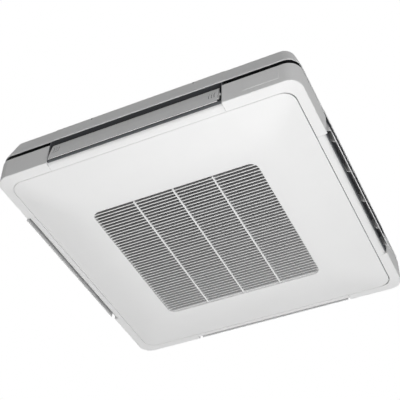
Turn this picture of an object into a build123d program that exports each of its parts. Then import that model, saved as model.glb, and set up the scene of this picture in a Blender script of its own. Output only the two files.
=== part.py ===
from build123d import *
import os
from math import cos, radians, sin

# Air conditioner that hangs below a ceiling and blows out of its four sides.
# Millimetres. z = 0 is the top face, against the ceiling, and the unit hangs down to FACE_Z.
# -Y is the front and +X the right side. Pieces that repeat on the four sides are drawn at the
# front, and pieces that repeat at the corners are drawn at the front right corner.

# Overall
HALF = 475.0  # half of the 950 mm square plan, at the corner covers
CORNER_R = 41.0
PLASTIC = 2.5  # wall of the moulded covers
CASING_WALL = 3.0
SHEET = 1.2  # steel sheet
POST_SHEET = 1.6
JOINT_GAP = 0.4  # visible joint between two mouldings

# Levels, from the ceiling down
CASING_LIP_Z = -72.5
COVER_TOP_Z = -92.2
FRAME_TOP_Z = -158.0
FRAME_BOTTOM_Z = -160.0
COVER_ARRIS_Z = -164.5
SEAM_Z = -169.2
FACE_Z = -198.0  # lowest plane: the grille in the middle of the bottom

# Seam round the intake panel, and the grille in its middle
SEAM_HALF = 443.0
SEAM_R = 40.0
SEAM_GAP = 0.9
HINGE_GAP = 2.2  # wider seam along the hinged right edge
HINGE_CORNER_R = 36.0  # opening's corner radius at that edge, tighter than the panel's
SEAM_DRAFT = 2.6  # how far the edge beside the seam leans back, to let the panel swing
GRILLE_HALF = 264.5
GRILLE_R = 25.0
FACE_HALF = 270.0  # flat rim round the grille
SLAT_COUNT = 43
SLAT_PITCH = 12.12
SLAT_DEPTH = 7.0
SLAT_FOOT = 3.2
SLAT_HEAD = 1.8
DIVIDERS_X = (-124.0, 3.0, 129.0)
DIVIDER_WIDTH = 3.0

# Air outlets: each stands off centre, so the corners have long and short legs by turns
LONG_REACH = 254.5  # outlet end next to a long corner
SHORT_REACH = 295.5  # outlet end next to a short corner
OUTLET_LENGTH = LONG_REACH + SHORT_REACH
OUTLET_SHIFT = (LONG_REACH - SHORT_REACH) / 2
DUCT_WALL = 2.5
LIP_R = 13.0  # round outer lip of the strip under each outlet
LIP_OUT = 468.5
LIP_TOP_Z = -150.0

# Flaps
PIVOT_OUT = 468.0
PIVOT_Z = -119.5
FLAP_REST = (12.0, 18.0, 2.0, 12.0)  # degrees open in the stored pose, side by side
FLAP_LEFT = -286.0
FLAP_RIGHT = 245.0
FLAP_WALL = 2.5
FLAP_EDGE_OUT = 5.4  # middle line of the blade from the pivot: at its edges,
FLAP_BELLY_OUT = 6.9  # and where it bows out most
FLAP_LOWER = -43.7
FLAP_UPPER = 27.3
FLAP_RIBS_X = (-198.0, -68.0, 68.0, 198.0)
RIB = 3.0
PIN_R = 3.0
RUNNING = 0.05  # radial clearance of a shaft in its hole

# Intake panel hinge along the right edge, and two spring catches on the left
HINGE_X = 440.4
HINGE_Z = -166.8
HINGE_PIN_R = 0.95
KNUCKLE_R = 1.9
HINGE_Y = (-220.0, 220.0)
CATCH_X = -425.0
CATCH_Y = (-130.0, 130.0)

# Suspension
HANGER_X = 390.0
HANGER_Y = 340.0
SLOT_LENGTH = 24.0
SLOT_WIDTH = 12.0
BRACKET_SHEET = 2.5
SHELF_Z = -20.0

# Fan and motor
ROTOR_R = 205.0
BLADE_COUNT = 7
MOTOR_R = 72.0
MOTOR_BOTTOM_Z = -60.0
SHAFT_R = 5.0
THROAT_R = 144.0

# Heat exchanger and drain
COIL_MID = 304.0
COIL_THICK = 42.0
COIL_BOTTOM_Z = -136.0
COIL_R = 60.0
COIL_END = 215.0
TUBE_R = 3.5
COIL_ROW = 10.5  # each of the two rows of tubes from the middle of the fins
COIL_LEVELS = 6
COIL_PITCH = 20.0
COIL_FIRST_Z = -118.0
PAN_TOP_Z = -130.0
TROUGH_FLOOR_Z = -148.0
SUMP_MID = 362.0
PUMP_XY = (-372.0, 372.0)
FLOAT_XY = (-340.0, 390.0)
SOCKET_XY = (-404.0, 404.0)
SOCKET_BORE_R = 13.1  # takes a 26 mm drain pipe

SIDES = ("front", "right", "rear", "left")
CORNERS = ("front_right", "rear_right", "rear_left", "front_left")

os.makedirs("parts", exist_ok=True)


def save(builder, name):
    builder.part.label = name
    export_step(builder.part, f"parts/{name}.step")


def save_sides(master, stem):
    """The front piece on all four sides. On the left and right it is a mirror image."""
    with BuildPart() as mirrored:
        add(master.part)
        mirror(about=Plane.YZ, mode=Mode.REPLACE)
    for quarter, side in enumerate(SIDES):
        source = mirrored if quarter % 2 else master
        with BuildPart() as placed:
            add(source.part, rotation=(0, 0, 90 * quarter))
        save(placed, f"{stem}_{side}")


def save_corner(master, stem, quarter):
    with BuildPart() as placed:
        add(master.part, rotation=(0, 0, 90 * quarter))
    save(placed, f"{stem}_{CORNERS[quarter]}")


def corner_reach(quarter):
    """Long and short corners alternate round the unit, starting with a long one."""
    return SHORT_REACH if quarter % 2 else LONG_REACH


def square(half, radius, mode=Mode.ADD):
    """Rounded square about the centre."""
    RectangleRounded(2 * half, 2 * half, radius, mode=mode)


# ---------------------------------------------------------------- upper casing

CASING_TOP_OUT = 450.4  # middle line of the wall at the top edge and at the lip
CASING_LIP_OUT = 472.0
CORNER_TOP_OUT = 451.5  # outer face of the corner mouldings, likewise
CORNER_LIP_OUT = 473.6
CORNER_TOP_R = 33.0
CORNER_WALL = 3.1  # measured level
LIP_ROUND = 2.0
CASING_SCREWS_X = (-175.0, 157.0)
CASING_SCREW_Z = -9.5
SCREW_HEAD_R = 3.0


def casing_face(x):
    """Plane on the outside of the sloping wall, at the height of the screws."""
    top = -SHEET - CASING_WALL / 2
    slope = (CASING_LIP_OUT - CASING_TOP_OUT) / (top - CASING_LIP_Z)
    out = CASING_TOP_OUT + 2.6 + slope * (top - CASING_SCREW_Z)
    return Plane(origin=(x, -out, CASING_SCREW_Z), x_dir=(1, 0, 0), z_dir=(0, -1, slope))


def make_casing():
    """Sloping upper mouldings. Those between the corners stand a little further out."""
    bulge = 1.0
    flange_in = 436.0
    top = -SHEET - CASING_WALL / 2
    with BuildPart() as casing_side:
        with BuildSketch(Plane.YZ.offset(JOINT_GAP - SHORT_REACH)) as section:
            with BuildLine():
                FilletPolyline(
                    (-flange_in - bulge, top),
                    (-CASING_TOP_OUT - bulge, top),
                    (-CASING_LIP_OUT - bulge, CASING_LIP_Z),
                    radius=4,
                )
            trace(line_width=CASING_WALL)
            # outer corner of the wall's lower end
            lip = section.vertices().sort_by(Axis.Y)[:2].sort_by(Axis.X)[0]
            fillet(lip, radius=LIP_ROUND)
        extrude(amount=OUTLET_LENGTH - 2 * JOINT_GAP)
        for x in CASING_SCREWS_X:
            with BuildSketch(casing_face(x)):
                Circle(SCREW_HEAD_R + 0.4)
            extrude(amount=-1, mode=Mode.SUBTRACT)
    save_sides(casing_side, "casing_side")

    under = -SHEET - CASING_WALL
    slope = (CORNER_LIP_OUT - CORNER_TOP_OUT) / (-SHEET - CASING_LIP_Z)
    hollow_top = CORNER_TOP_OUT + slope * CASING_WALL - CORNER_WALL
    for quarter in range(4):
        reach = corner_reach(quarter)
        with BuildPart() as casing_corner:
            with BuildSketch(Plane.XY.offset(CASING_LIP_Z)):
                square(CORNER_LIP_OUT, CORNER_R)
            with BuildSketch(Plane.XY.offset(-SHEET)):
                square(CORNER_TOP_OUT, CORNER_TOP_R)
            loft(ruled=True)
            fillet(casing_corner.faces().sort_by(Axis.Z)[0].edges(), radius=LIP_ROUND)
            fillet(casing_corner.faces().sort_by(Axis.Z)[-1].edges(), radius=5.5)
            # hollow inside, with a flange left under the top plate
            with BuildSketch(Plane.XY.offset(CASING_LIP_Z)):
                square(CORNER_LIP_OUT - CORNER_WALL, CORNER_R - CORNER_WALL)
            with BuildSketch(Plane.XY.offset(under)):
                square(hollow_top, CORNER_TOP_R - CORNER_WALL)
            loft(ruled=True, mode=Mode.SUBTRACT)
            with BuildSketch(Plane.XY.offset(under)):
                square(flange_in, 18)
            extrude(amount=CASING_WALL, mode=Mode.SUBTRACT)
            # only the corner between two outlets is kept
            with BuildSketch(Plane.XY.offset(CASING_LIP_Z)):
                with Locations((reach, -reach)):
                    Rectangle(HALF, HALF, align=(Align.MIN, Align.MAX))
            extrude(amount=-CASING_LIP_Z, mode=Mode.INTERSECT)
        save_corner(casing_corner, "casing_corner", quarter)


def make_casing_screws():
    """Low round heads seated in the casing's recesses."""
    with BuildPart() as pair:
        for x in CASING_SCREWS_X:
            with BuildSketch(casing_face(x).offset(-1)):
                Circle(SCREW_HEAD_R)
            extrude(amount=1.6)
    with BuildPart() as mirrored:
        add(pair.part)
        mirror(about=Plane.YZ, mode=Mode.REPLACE)
    with BuildPart() as casing_screws:
        for quarter in range(4):
            source = mirrored if quarter % 2 else pair
            add(source.part, rotation=(0, 0, 90 * quarter))
    save(casing_screws, "casing_screws")


def make_top_plate():
    """Steel lid against the ceiling, with pressed beads, open over the hangers and the pipes."""
    bead_depth = 4.0
    bead = 12.0
    bead_ring = 110.0
    edge_bead_out = 375.0
    with BuildPart() as top_plate:
        with BuildSketch(Plane.XY.offset(-SHEET)):
            square(447, 29)
            Circle(bead_ring + bead / 2, mode=Mode.SUBTRACT)
            Circle(bead_ring - bead / 2)
            with GridLocations(2 * HANGER_X, 2 * HANGER_Y, 2, 2):
                Circle(17, mode=Mode.SUBTRACT)
            with Locations(SOCKET_XY):
                Circle(24, mode=Mode.SUBTRACT)
            with Locations((0, -352)):
                Circle(11, mode=Mode.SUBTRACT)
            with Locations(((GAS_X + LIQUID_X) / 2, PIPE_END_Y)):
                RectangleRounded(*PIPE_WINDOW, 6, mode=Mode.SUBTRACT)
            with PolarLocations(edge_bead_out, 4):
                SlotOverall(420, bead, rotation=90, mode=Mode.SUBTRACT)
        extrude(amount=SHEET)
        # bead round the motor, a channel pressed down into the sheet
        with BuildSketch(Plane.XZ):
            with BuildLine():
                Polyline(
                    (bead_ring - bead / 2 - 2, -SHEET / 2),
                    (bead_ring - bead / 2 + 1, -SHEET / 2),
                    (bead_ring - bead / 2 + 3, -bead_depth),
                    (bead_ring + bead / 2 - 3, -bead_depth),
                    (bead_ring + bead / 2 - 1, -SHEET / 2),
                    (bead_ring + bead / 2 + 2, -SHEET / 2),
                )
            trace(line_width=SHEET)
        revolve(axis=Axis.Z)
        # straight beads along the four edges
        with BuildSketch(Plane.XY.offset(-bead_depth)):
            with PolarLocations(edge_bead_out, 4):
                SlotOverall(420, bead, rotation=90)
        extrude(amount=bead_depth)
        with BuildSketch(Plane.XY.offset(-bead_depth + SHEET)):
            with PolarLocations(edge_bead_out, 4):
                SlotOverall(420 - 2 * SHEET, bead - 2 * SHEET, rotation=90)
        extrude(amount=bead_depth, mode=Mode.SUBTRACT)
    save(top_plate, "top_plate")


def make_hangers():
    """Hat-shaped brackets under the top plate. The suspension bolt hangs each by its slot."""
    flange_z = -SHEET - BRACKET_SHEET / 2
    for quarter, corner in enumerate(CORNERS):
        x = HANGER_X * (1 if quarter < 2 else -1)
        y = HANGER_Y * (1 if quarter in (1, 2) else -1)
        with BuildPart() as bracket:
            with BuildSketch(Plane.XZ.offset(-y - 21)):
                with BuildLine():
                    FilletPolyline(
                        (x - 42, flange_z),
                        (x - 25, flange_z),
                        (x - 25, SHELF_Z),
                        (x + 25, SHELF_Z),
                        (x + 25, flange_z),
                        (x + 42, flange_z),
                        radius=3,
                    )
                trace(line_width=BRACKET_SHEET)
            extrude(amount=42)
            with BuildSketch(Plane.XY.offset(SHELF_Z - BRACKET_SHEET)):
                with Locations((x, y)):
                    SlotOverall(SLOT_LENGTH, SLOT_WIDTH)
            extrude(amount=2 * BRACKET_SHEET, mode=Mode.SUBTRACT)
        save(bracket, f"hanger_bracket_{corner}")


def make_posts():
    """Folded corner posts that carry the panel frame. A shelf closes the recess from behind."""
    web_out = 440.0
    shelf_end = 469.0
    shelf_z = CASING_LIP_Z + 3  # up inside the casing, so that its lip shows
    foot = 10.0
    height = -SHEET - CASING_WALL - FRAME_TOP_Z
    for quarter in range(4):
        reach = corner_reach(quarter) + 2
        with BuildPart() as post:
            with BuildLine():
                FilletPolyline(
                    (reach, -web_out), (web_out, -web_out), (web_out, -reach), radius=12
                )
            with BuildSketch(Plane.YZ.offset(reach)):
                with Locations((-web_out, FRAME_TOP_Z + height / 2)):
                    Rectangle(POST_SHEET, height)
                with Locations((-(web_out + shelf_end) / 2, shelf_z - POST_SHEET / 2)):
                    Rectangle(shelf_end - web_out, POST_SHEET)
                with Locations((-web_out + foot / 2, FRAME_TOP_Z + POST_SHEET / 2)):
                    Rectangle(foot, POST_SHEET)
            sweep()
            if quarter == 0:
                # window behind the pipe knock-out
                with BuildSketch(Plane.XZ.offset(web_out - 10)):
                    with Locations(((KNOCKOUT_LEFT + KNOCKOUT_RIGHT) / 2, KNOCKOUT_Z)):
                        RectangleRounded(92, 40, 4)
                extrude(amount=20, mode=Mode.SUBTRACT)
        save_corner(post, "corner_post", quarter)


# ---------------------------------------------------------------- lower corner covers

KNOCKOUT_LEFT = 316.0
KNOCKOUT_RIGHT = 420.0
KNOCKOUT_Z = -122.5
KNOCKOUT_HEIGHT = 44.0


def make_corner_covers():
    """Upright wall, rounded lower edge and a shallow slope in to the seam, in one moulding."""
    inner = HALF - PLASTIC
    inner_r = CORNER_R - PLASTIC
    for quarter in range(4):
        reach = corner_reach(quarter) + JOINT_GAP
        # the right side is on the drawn +X at the first corner and on the drawn -Y at the second
        gap_x = HINGE_GAP if quarter == 0 else SEAM_GAP
        gap_y = HINGE_GAP if quarter == 1 else SEAM_GAP
        radius = HINGE_CORNER_R if quarter < 2 else SEAM_R + SEAM_GAP
        with BuildPart() as cover:
            with BuildSketch(Plane.XY.offset(COVER_ARRIS_Z)):
                square(HALF, CORNER_R)
            extrude(amount=COVER_TOP_Z - COVER_ARRIS_Z)
            with BuildSketch(Plane.XY.offset(COVER_ARRIS_Z)):
                square(HALF, CORNER_R)
            with BuildSketch(Plane.XY.offset(SEAM_Z)):
                square(SEAM_HALF, SEAM_R)
            loft(ruled=True)
            arris = cover.edges().filter_by_position(
                Axis.Z, COVER_ARRIS_Z - 0.1, COVER_ARRIS_Z + 0.1
            )
            fillet(arris, radius=3)
            # hollow inside
            with BuildSketch(Plane.XY.offset(COVER_ARRIS_Z + PLASTIC)):
                square(inner, inner_r)
            extrude(amount=COVER_TOP_Z - COVER_ARRIS_Z, mode=Mode.SUBTRACT)
            with BuildSketch(Plane.XY.offset(COVER_ARRIS_Z + PLASTIC)):
                square(inner, inner_r)
            with BuildSketch(Plane.XY.offset(SEAM_Z + PLASTIC)):
                square(SEAM_HALF, SEAM_R)
            loft(ruled=True, mode=Mode.SUBTRACT)
            # opening for the intake panel, leaning back from the seam
            for z, lean in ((SEAM_Z - 0.3, 0), (FRAME_BOTTOM_Z, SEAM_DRAFT)):
                with BuildSketch(Plane.XY.offset(z)):
                    RectangleRounded(
                        2 * (SEAM_HALF + gap_x + lean), 2 * (SEAM_HALF + gap_y + lean), radius + lean
                    )
            loft(ruled=True, mode=Mode.SUBTRACT)
            # only the corner between two outlets is kept
            with BuildSketch(Plane.XY.offset(SEAM_Z - 1)):
                with Locations((reach, -reach)):
                    Rectangle(HALF, HALF, align=(Align.MIN, Align.MAX))
            extrude(amount=COVER_TOP_Z - SEAM_Z + 2, mode=Mode.INTERSECT)
            # ribs that stand against the corner post
            with BuildSketch(Plane.XY.offset(FRAME_TOP_Z)):
                for along in (reach + 32, KNOCKOUT_RIGHT + 5):
                    with Locations((along, -457)):
                        Rectangle(2, 32.4)
                    with Locations((457, -along)):
                        Rectangle(32.4, 2)
            extrude(amount=50)
            if quarter == 0:
                # the pipe knock-out stands a little proud of the front wall
                with BuildSketch(Plane.XZ.offset(HALF - 0.1)):
                    with Locations(((KNOCKOUT_LEFT + KNOCKOUT_RIGHT) / 2, KNOCKOUT_Z)):
                        RectangleRounded(KNOCKOUT_RIGHT - KNOCKOUT_LEFT, KNOCKOUT_HEIGHT, 4)
                extrude(amount=0.9)
        save_corner(cover, "corner_cover", quarter)


# ---------------------------------------------------------------- outlets and flaps


def make_outlet_frames():
    """Dark duct that leads the air out to the side, with bearing holes for the flap's pins."""
    mouth = 472.5
    inner_end = 400.0
    top_z = CASING_LIP_Z
    with BuildPart() as outlet_frame:
        with BuildSketch(Plane.YZ.offset(-SHORT_REACH)):
            with BuildLine():
                Polyline(
                    (-mouth, top_z - DUCT_WALL),
                    (2 - mouth, top_z),
                    (-455, top_z),
                    (-inner_end, -69),
                    (-inner_end, -138.5),
                    (-460, LIP_TOP_Z),
                    (-LIP_OUT, LIP_TOP_Z),
                    (-mouth, LIP_TOP_Z + 4),
                    close=True,
                )
            make_face()
        extrude(amount=OUTLET_LENGTH)
        with BuildSketch(Plane.YZ.offset(DUCT_WALL - SHORT_REACH)):
            with BuildLine():
                Polyline(
                    (-mouth - 5, top_z - DUCT_WALL),
                    (-454.5, top_z - DUCT_WALL),
                    (-inner_end + 1, -71.4),
                    (-inner_end + 1, -135.9),
                    (-460.5, LIP_TOP_Z + DUCT_WALL),
                    (-mouth - 5, LIP_TOP_Z + DUCT_WALL),
                    close=True,
                )
            make_face()
        extrude(amount=OUTLET_LENGTH - 2 * DUCT_WALL, mode=Mode.SUBTRACT)
        with BuildSketch(Plane.YZ.offset(-SHORT_REACH)):
            with Locations((-PIVOT_OUT, PIVOT_Z)):
                Circle(PIN_R + RUNNING)
        extrude(amount=OUTLET_LENGTH, mode=Mode.SUBTRACT)
    save_sides(outlet_frame, "outlet_frame")


def flap_plane(x, tilt):
    """Plane across the flap, centred on its pivot: local x points out, local y up the blade."""
    return Plane(
        origin=(x, -PIVOT_OUT, PIVOT_Z), x_dir=(0, -cos(tilt), sin(tilt)), z_dir=(-1, 0, 0)
    )


def make_flap(tilt):
    """Bowed blade with webs behind it, turned on its pivot by the tilt."""
    groove_out = 6.4
    groove_steps = (10.0, 18.0, 26.0)
    with BuildPart() as flap:
        with BuildSketch(flap_plane(FLAP_RIGHT, tilt)) as section:
            with BuildLine():
                ThreePointArc(
                    (FLAP_EDGE_OUT, FLAP_LOWER),
                    (FLAP_BELLY_OUT, (FLAP_LOWER + FLAP_UPPER) / 2),
                    (FLAP_EDGE_OUT, FLAP_UPPER),
                )
            trace(line_width=FLAP_WALL)
            fillet(section.vertices(), radius=FLAP_WALL * 0.45)
        extrude(amount=FLAP_RIGHT - FLAP_LEFT)
        # webs behind the blade, curved round the pivot
        for x in (FLAP_LEFT + RIB / 2, *FLAP_RIBS_X, FLAP_RIGHT - RIB / 2):
            with BuildSketch(flap_plane(x + RIB / 2, tilt)):
                with BuildLine():
                    ThreePointArc((FLAP_EDGE_OUT, -27), (-8, -7), (FLAP_EDGE_OUT, 20))
                    Line((FLAP_EDGE_OUT, 20), (FLAP_EDGE_OUT, -27))
                make_face()
            extrude(amount=RIB)
        # pivot pins: the right one reaches through the duct wall into the swing motor
        with BuildSketch(flap_plane(FLAP_LEFT + 1, tilt)):
            Circle(PIN_R)
        extrude(amount=FLAP_LEFT + 1 + SHORT_REACH + 2)
        with BuildSketch(flap_plane(LONG_REACH + 6.5, tilt)):
            Circle(PIN_R)
        extrude(amount=LONG_REACH + 6.5 - FLAP_RIGHT + 1)
        # three short curved grooves near each end of the face
        face = Plane(
            origin=(0, -PIVOT_OUT - groove_out * cos(tilt), PIVOT_Z + groove_out * sin(tilt)),
            x_dir=(1, 0, 0),
            z_dir=(0, -cos(tilt), sin(tilt)),
        )
        for step in groove_steps:
            for x, bow in ((FLAP_LEFT + step, -2), (FLAP_RIGHT - step, 2)):
                with BuildSketch(face):
                    with BuildLine():
                        ThreePointArc((x, -20), (x - bow, -5), (x, 10))
                    trace(line_width=2)
                extrude(amount=4, mode=Mode.SUBTRACT)
    return flap


def make_flaps():
    """The flaps are alike and stand open by different angles. Left and right are mirror images."""
    for quarter, side in enumerate(SIDES):
        flap = make_flap(radians(FLAP_REST[quarter]))
        with BuildPart() as drawn:
            add(flap.part)
            if quarter % 2:
                mirror(about=Plane.YZ, mode=Mode.REPLACE)
        with BuildPart() as placed:
            add(drawn.part, rotation=(0, 0, 90 * quarter))
        save(placed, f"flap_{side}")


def make_swing_motors():
    """Geared stepper whose output stands off its centre, behind the duct's end wall."""
    body_out = PIVOT_OUT - 8.5
    with BuildPart() as motor:
        with BuildSketch(Plane.YZ.offset(LONG_REACH)):
            with Locations((-body_out, PIVOT_Z)):
                SlotOverall(38, 8, rotation=90)
                with GridLocations(0, 30, 1, 2):
                    Circle(1.6, mode=Mode.SUBTRACT)
            with Locations((-PIVOT_OUT, PIVOT_Z)):
                Circle(4.2)
        extrude(amount=1.5)
        with BuildSketch(Plane.YZ.offset(LONG_REACH + 1.5)):
            with Locations((-body_out, PIVOT_Z)):
                Circle(12)
        extrude(amount=19)
        with BuildSketch(Plane.YZ.offset(LONG_REACH)):
            with Locations((-PIVOT_OUT, PIVOT_Z)):
                Circle(PIN_R + RUNNING)
        extrude(amount=8, mode=Mode.SUBTRACT)
        chamfer(motor.faces().sort_by(Axis.X)[-1].edges(), length=1.2)
    save_sides(motor, "swing_motor")


# ---------------------------------------------------------------- panel frame and intake panel


def make_strip(gap):
    """Bottom strip under one outlet, drawn as part of the panel frame."""
    centre_out = LIP_OUT - LIP_R
    centre_z = SEAM_Z + 1.8 + LIP_R
    inner = SEAM_HALF + gap
    slant = LIP_R * cos(radians(45))
    pocket_r = LIP_R - PLASTIC
    low = radians(64.5)
    with BuildPart() as strip:
        with BuildSketch(Plane.YZ.offset(JOINT_GAP - SHORT_REACH)):
            with BuildLine():
                Polyline(
                    (-LIP_OUT, centre_z),
                    (-LIP_OUT, LIP_TOP_Z),
                    (PLASTIC - LIP_OUT, LIP_TOP_Z),
                    (PLASTIC - LIP_OUT, FRAME_TOP_Z),
                    (-inner - SEAM_DRAFT, FRAME_TOP_Z),
                    (-inner - SEAM_DRAFT, FRAME_BOTTOM_Z),
                    (-inner, SEAM_Z),
                    (-centre_out, centre_z - LIP_R),
                )
                ThreePointArc(
                    (-centre_out, centre_z - LIP_R),
                    (-centre_out - slant, centre_z - slant),
                    (-LIP_OUT, centre_z),
                )
            make_face()
            with BuildLine():
                Polyline(
                    (-463.7, FRAME_BOTTOM_Z - 1),
                    (-inner - SEAM_DRAFT - 2.6, FRAME_BOTTOM_Z - 1),
                    (-inner - 3.2, SEAM_Z + 3),
                    (-centre_out, centre_z - pocket_r),
                )
                ThreePointArc(
                    (-centre_out, centre_z - pocket_r),
                    (-centre_out - pocket_r * cos(low), centre_z - pocket_r * sin(low)),
                    (-463.7, FRAME_BOTTOM_Z - 1),
                )
            make_face(mode=Mode.SUBTRACT)
        extrude(amount=OUTLET_LENGTH - 2 * JOINT_GAP)
    return strip


def make_panel_frame():
    """Flat frame that carries the corner covers, with the four bottom strips moulded on."""
    strips = []
    for quarter in range(4):
        strip = make_strip(HINGE_GAP if quarter == 1 else SEAM_GAP)
        with BuildPart() as drawn:
            add(strip.part)
            if quarter % 2:
                mirror(about=Plane.YZ, mode=Mode.REPLACE)
        strips.append(drawn.part)
    lug_height = FRAME_BOTTOM_Z - HINGE_Z
    with BuildPart() as panel_frame:
        with BuildSketch(Plane.XY.offset(FRAME_BOTTOM_Z)):
            square(HALF - PLASTIC, CORNER_R - PLASTIC)
            square(300, 40, mode=Mode.SUBTRACT)
            for quarter in range(4):
                shift = -OUTLET_SHIFT if quarter % 2 else OUTLET_SHIFT
                centre = Vector(shift, -HALF).rotate(Axis.Z, 90 * quarter)
                with Locations((centre.X, centre.Y)):
                    Rectangle(OUTLET_LENGTH, 18, rotation=90 * quarter, mode=Mode.SUBTRACT)
        extrude(amount=FRAME_TOP_Z - FRAME_BOTTOM_Z)
        for quarter, strip in enumerate(strips):
            add(strip, rotation=(0, 0, 90 * quarter))
        # pairs of hinge lugs on the right
        for y in HINGE_Y:
            with BuildSketch(Plane.XZ.offset(-y - 9)):
                with Locations((HINGE_X, HINGE_Z)):
                    Circle(KNUCKLE_R)
                with Locations((HINGE_X, HINGE_Z + lug_height / 2)):
                    Rectangle(2 * KNUCKLE_R, lug_height)
            extrude(amount=18)
            with BuildSketch(Plane.XZ.offset(-y - 5)):
                with Locations((HINGE_X, HINGE_Z + lug_height / 2 - KNUCKLE_R)):
                    Rectangle(4 * KNUCKLE_R, lug_height + 2 * KNUCKLE_R)
            extrude(amount=10, mode=Mode.SUBTRACT)
            # the pin between them
            with BuildSketch(Plane.XZ.offset(-y - 6)):
                with Locations((HINGE_X, HINGE_Z)):
                    Circle(HINGE_PIN_R)
            extrude(amount=12)
    save(panel_frame, "panel_frame")


def make_catches():
    """Spring clips under the frame that grip the intake panel's strikers."""
    with BuildPart() as catches:
        for y in CATCH_Y:
            with BuildSketch(Plane.XZ.offset(-y - 9)):
                for side in (-1, 1):
                    with BuildLine():
                        FilletPolyline(
                            (CATCH_X + side * 8, FRAME_BOTTOM_Z - 0.5),
                            (CATCH_X + side * 3.5, FRAME_BOTTOM_Z - 0.5),
                            (CATCH_X + side * 2.4, FRAME_BOTTOM_Z - 7),
                            (CATCH_X + side * 4.5, FRAME_BOTTOM_Z - 9),
                            radius=1,
                        )
                    trace(line_width=1)
                with Locations((CATCH_X, FRAME_BOTTOM_Z - 0.5)):
                    Rectangle(12, 1)
            extrude(amount=18)
    save(catches, "panel_catches")


def bulge(t):
    """Rise of the intake panel above its face, from 0 at the grille to 1 at the seam."""
    return t * t * (1.6 - 0.6 * t)


def dome(inset, lift, top):
    """Solid above the bulged surface: lofted through rounded squares, then straight up."""
    with BuildPart() as solid:
        for t in (1.0, 0.88, 0.72, 0.52, 0.28, 0.0):
            half = FACE_HALF + (SEAM_HALF - FACE_HALF) * t
            z = FACE_Z + (SEAM_Z - FACE_Z) * bulge(t)
            with BuildSketch(Plane.XY.offset(z + lift)):
                square(half - inset, SEAM_R + 12 * (1 - t) - inset)
        loft()
        with BuildSketch(Plane.XY.offset(SEAM_Z + lift)):
            square(SEAM_HALF - inset, SEAM_R - inset)
        extrude(amount=top - SEAM_Z - lift)
    return solid.part


def make_intake_panel():
    """The bulged bottom panel: thin shell, low rim, collar round the grille, hinge and strikers."""
    rim_top = -163.0
    collar_top = -188.0
    pocket_z = HINGE_Z - KNUCKLE_R - 0.25
    outside = dome(0, 0, rim_top)
    inside = dome(PLASTIC, PLASTIC, rim_top + 10)
    with BuildPart() as panel:
        add(outside)
        add(inside, mode=Mode.SUBTRACT)
        # collar round the grille opening
        with BuildSketch(Plane.XY.offset(FACE_Z + 1)):
            square(GRILLE_HALF + PLASTIC, GRILLE_R + PLASTIC)
        extrude(amount=collar_top - FACE_Z - 1)
        with BuildSketch(Plane.XY.offset(FACE_Z - 1)):
            square(GRILLE_HALF, GRILLE_R)
        extrude(amount=40, mode=Mode.SUBTRACT)
        # pockets in the right rim for the frame's hinge lugs
        for y in HINGE_Y:
            with BuildSketch(Plane.XY.offset(pocket_z)):
                with Locations((HINGE_X, y)):
                    Rectangle(7.4, 22)
            extrude(amount=10, mode=Mode.SUBTRACT)
            # knuckle between the lugs
            with BuildSketch(Plane.XZ.offset(-y - 4.5)):
                with Locations((HINGE_X, HINGE_Z)):
                    Circle(KNUCKLE_R)
                with Locations((HINGE_X, HINGE_Z)):
                    Rectangle(8, 2 * KNUCKLE_R, align=(Align.MAX, Align.CENTER))
                with Locations((HINGE_X - 3.7, HINGE_Z - 1.5)):
                    Rectangle(5, 3)
                with Locations((HINGE_X, HINGE_Z)):
                    Circle(HINGE_PIN_R + RUNNING, mode=Mode.SUBTRACT)
            extrude(amount=9)
        # strikers that stand up into the spring catches
        for y in CATCH_Y:
            with BuildSketch(Plane.XZ.offset(-y - 7)):
                with Locations((CATCH_X, FRAME_BOTTOM_Z - 3)):
                    Rectangle(3, 9, align=(Align.CENTER, Align.MAX))
            extrude(amount=14)
    save(panel, "intake_panel")


def make_grille():
    """Square louvred grille: one row of slats after another, crossed by three dividers."""
    half = GRILLE_HALF - 0.3
    foot_z = FACE_Z + 0.2
    first_y = -SLAT_PITCH * (SLAT_COUNT - 1) / 2
    with BuildPart() as slats:
        for row in range(SLAT_COUNT):
            y = first_y + row * SLAT_PITCH
            with BuildSketch(Plane.YZ.offset(-half)):
                with BuildLine():
                    Polyline(
                        (y - SLAT_FOOT / 2, foot_z),
                        (y + SLAT_FOOT / 2, foot_z),
                        (y + SLAT_HEAD / 2, foot_z + SLAT_DEPTH),
                        (y - SLAT_HEAD / 2, foot_z + SLAT_DEPTH),
                        close=True,
                    )
                make_face()
        extrude(amount=2 * half)
    with BuildPart() as intake_grille:
        # border that joins the slats, set back behind their faces
        with BuildSketch(Plane.XY.offset(foot_z + SLAT_DEPTH - 1.2)):
            square(half, GRILLE_R - 0.3)
            square(half - 3.5, GRILLE_R - 4, mode=Mode.SUBTRACT)
        extrude(amount=3)
        with BuildSketch(Plane.XY.offset(foot_z + 0.4)):
            for x in DIVIDERS_X:
                with Locations((x, 0)):
                    Rectangle(DIVIDER_WIDTH, 2 * half - 6)
        extrude(amount=SLAT_DEPTH)
        add(slats.part)
        # the slats end on the opening's round corners
        with BuildSketch(Plane.XY.offset(foot_z - 1)):
            square(half, GRILLE_R - 0.3)
        extrude(amount=SLAT_DEPTH + 5, mode=Mode.INTERSECT)
    save(intake_grille, "intake_grille")


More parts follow.
